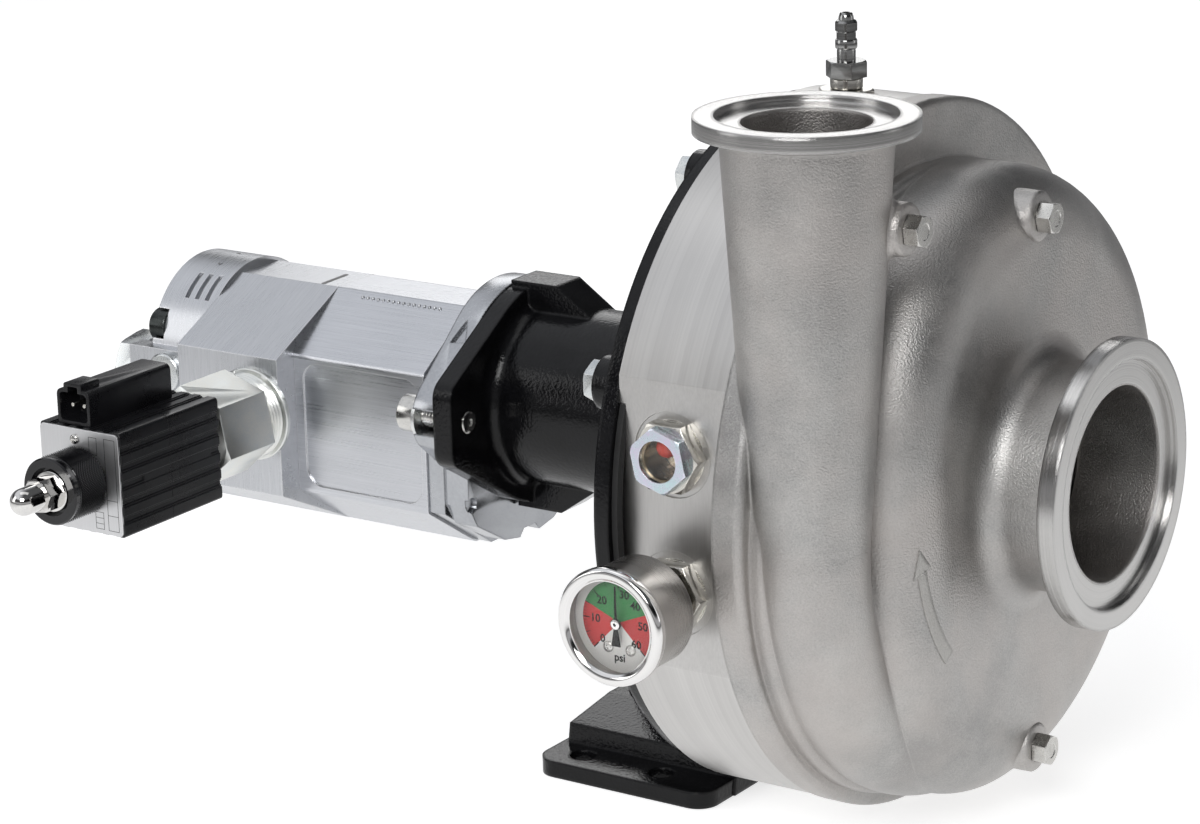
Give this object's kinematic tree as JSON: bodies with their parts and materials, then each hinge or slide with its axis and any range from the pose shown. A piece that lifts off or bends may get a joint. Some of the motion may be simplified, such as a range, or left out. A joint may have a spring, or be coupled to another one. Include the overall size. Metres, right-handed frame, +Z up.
{
  "type": "centrifugal pump",
  "caption": "Centrifugal pump with volute casing, oil filled double seal chamber, pressure gauge and a hydraulic gear motor with a solenoid valve, standing on a cast foot.",
  "frame": {"origin": "centre of the four foot bolt holes on the underside of the foot", "axes": "+Y back along the shaft from the suction side to the motor, +Z up, +X to the right seen from the suction side"},
  "size_m": [0.3451, 0.468, 0.314],
  "materials": {
    "cast_stainless": "bead blasted casting with machined flange bands",
    "turned_stainless": "turned, fine lathe grain",
    "black_paint": "gloss black paint over rough grey iron",
    "zinc_steel": "bright zinc plated",
    "ground_steel": "ground",
    "hard_chrome": "polished",
    "bearing_steel": "ground and polished",
    "black_steel": "black oxide",
    "milled_aluminium": "milled and brushed",
    "cast_aluminium": "die cast, darker",
    "bronze": "machined bronze",
    "nickel_plate": "nickel plated brass, warm tint",
    "gauge_steel": "satin case, polished bezel",
    "rubber": "matt",
    "carbon": "carbon seal face, satin",
    "coil_plastic": "moulded black",
    "connector_plastic": "moulded black",
    "float_plastic": "red",
    "black_aluminium": "knurled, black anodised",
    "plate_aluminium": "bare satin plate",
    "glass": "clear",
    "dial_paint": "white dial with red and green sectors",
    "pointer_paint": "black"
  },
  "bodies": {
    "pump": {"acorn_nut": "hard_chrome", "bearing_blocks": "bronze", "bearing_outer_rings": "bearing_steel", "bearing_spacer": "ground_steel", "casing_screws": "turned_stainless", "chamber_o_rings": "rubber", "dial_screws": "zinc_steel", "fill_nipple": "nickel_plate", "frame_bolts": "zinc_steel", "gauge_bezel": "gauge_steel", "gauge_case": "gauge_steel", "gauge_dial": "dial_paint", "gauge_lens": "glass", "gauge_stem": "nickel_plate", "manifold_block": "milled_aluminium", "motor_body": "milled_aluminium", "motor_front_cover": "cast_aluminium", "motor_rear_cover": "milled_aluminium", "motor_shaft_seal": "rubber", "motor_through_bolts": "black_steel", "mount_bolts": "zinc_steel", "mount_washers": "zinc_steel", "mounting_frame": "black_paint", "nipple_bush": "zinc_steel", "pipe_plugs": "turned_stainless", "port_bushes": "nickel_plate", "rear_port_plug": "zinc_steel", "seal_chamber": "turned_stainless", "seal_seats": "carbon", "side_port_plug": "zinc_steel", "sight_glass": "glass", "sight_plug": "zinc_steel", "snap_ring": "black_steel", "valve_body": "zinc_steel", "volute_casing": "cast_stainless", "wear_ring": "bronze"},
    "rotor": {"pump_shaft": "ground_steel", "impeller": "cast_stainless", "impeller_key": "ground_steel", "impeller_washer": "turned_stainless", "impeller_nut": "turned_stainless", "seal_heads": "carbon", "seal_bellows": "rubber", "bearing_inner_rings": "bearing_steel", "bearing_balls": "bearing_steel", "drive_gear": "ground_steel", "coupling_key": "ground_steel"},
    "idler": {"idler_gear": "ground_steel"},
    "gauge_hand": {"gauge_pointer": "pointer_paint"},
    "float": {"sight_float": "float_plastic"},
    "fill_pin": {"fill_valve_pin": "ground_steel"},
    "spool": {"valve_spool": "ground_steel"},
    "coil_unit": {"coil": "coil_plastic", "coil_plate": "plate_aluminium", "plate_screw": "zinc_steel", "connector": "connector_plastic", "connector_pins": "bronze"},
    "hand_nut": {"coil_nut": "black_aluminium"}
  },
  "joints": [
    {"name": "shaft_spin", "type": "hinge", "parent": "pump", "child": "rotor", "pos_m": [0, 0, 0.142], "axis": [0, 1, 0], "continuous": true},
    {"name": "idler_spin", "type": "hinge", "parent": "pump", "child": "idler", "pos_m": [0, 0.135, 0.11], "axis": [0, 1, 0], "continuous": true},
    {"name": "pointer_swing", "type": "hinge", "parent": "pump", "child": "gauge_hand", "pos_m": [-0.165, -0.077, 0.1161], "axis": [1, 0, 0], "range_deg": [-135, 135], "stiffness_Nm_per_rad": 0.0002},
    {"name": "float_rise", "type": "slide", "parent": "pump", "child": "float", "axis": [0, 0, 1], "range_m": [-0.0078, 0]},
    {"name": "fill_pin_press", "type": "slide", "parent": "pump", "child": "fill_pin", "axis": [0, 0, -1], "range_m": [0, 0.0015], "stiffness_N_per_m": 400},
    {"name": "spool_shift", "type": "slide", "parent": "pump", "child": "spool", "axis": [-1, 0, 0], "range_m": [0, 0.003], "stiffness_N_per_m": 3000},
    {"name": "coil_turn", "type": "hinge", "parent": "pump", "child": "coil_unit", "pos_m": [-0.134, 0.1815, 0.131], "axis": [-1, 0, 0], "continuous": true},
    {"name": "hand_nut_turn", "type": "hinge", "parent": "pump", "child": "hand_nut", "pos_m": [-0.175, 0.1815, 0.131], "axis": [-1, 0, 0], "continuous": true}
  ],
  "couplings": [
    {"joint": "idler_spin", "follows": "shaft_spin", "ratio": -1}
  ]
}
